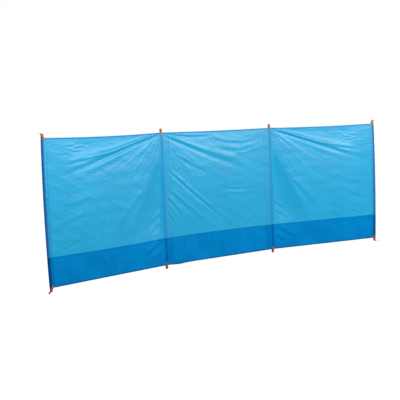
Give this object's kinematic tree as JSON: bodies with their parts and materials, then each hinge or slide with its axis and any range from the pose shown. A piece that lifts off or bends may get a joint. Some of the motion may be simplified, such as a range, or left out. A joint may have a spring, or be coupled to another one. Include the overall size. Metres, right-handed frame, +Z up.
{
  "type": "beach windbreak",
  "caption": "Long beach windbreak: light blue cloth with a darker lower band, stretched in bays between slim poles held by orange webbing tabs.",
  "frame": {"origin": "centre of the flat end of the first pole's foot pin, on the ground", "axes": "+X along the row from the first pole to the last, +Y back from the side that is looked at, +Z up"},
  "size_m": [4.0379, 0.2837, 1.4],
  "materials": {
    "cloth_light": "thin woven polyester, slightly see-through",
    "cloth_dark": "thin woven polyester, slightly see-through",
    "hem_light": "folded and stitched polyester",
    "hem_dark": "folded and stitched polyester",
    "webbing": "woven polypropylene webbing",
    "fibreglass": "smooth pultruded glass fibre",
    "steel": "zinc-plated",
    "brass": "stamped eyelets"
  },
  "bodies": {
    "root": {"bottom_eyelets": "brass", "bottom_hem_1": "hem_dark", "bottom_hem_2": "hem_dark", "bottom_hem_3": "hem_dark", "bottom_tab_1": "webbing", "bottom_tab_2": "webbing", "bottom_tab_3": "webbing", "bottom_tab_4": "webbing", "guy_ring_1": "steel", "guy_ring_4": "steel", "panel_1": "cloth_light", "panel_2": "cloth_light", "panel_3": "cloth_light", "peg_ring_1": "steel", "peg_ring_4": "steel", "pole_1": "fibreglass", "pole_2": "fibreglass", "pole_3": "fibreglass", "pole_4": "fibreglass", "pole_foot_1": "steel", "pole_foot_2": "steel", "pole_foot_3": "steel", "pole_foot_4": "steel", "pole_tip_1": "steel", "pole_tip_2": "steel", "pole_tip_3": "steel", "pole_tip_4": "steel", "skirt_1": "cloth_dark", "skirt_2": "cloth_dark", "skirt_3": "cloth_dark", "sleeve_1": "cloth_light", "sleeve_2": "cloth_light", "sleeve_3": "cloth_light", "sleeve_4": "cloth_light", "top_eyelets": "brass", "top_hem_1": "hem_light", "top_hem_2": "hem_light", "top_hem_3": "hem_light", "top_tab_1": "webbing", "top_tab_2": "webbing", "top_tab_3": "webbing", "top_tab_4": "webbing"}
  },
  "joints": []
}
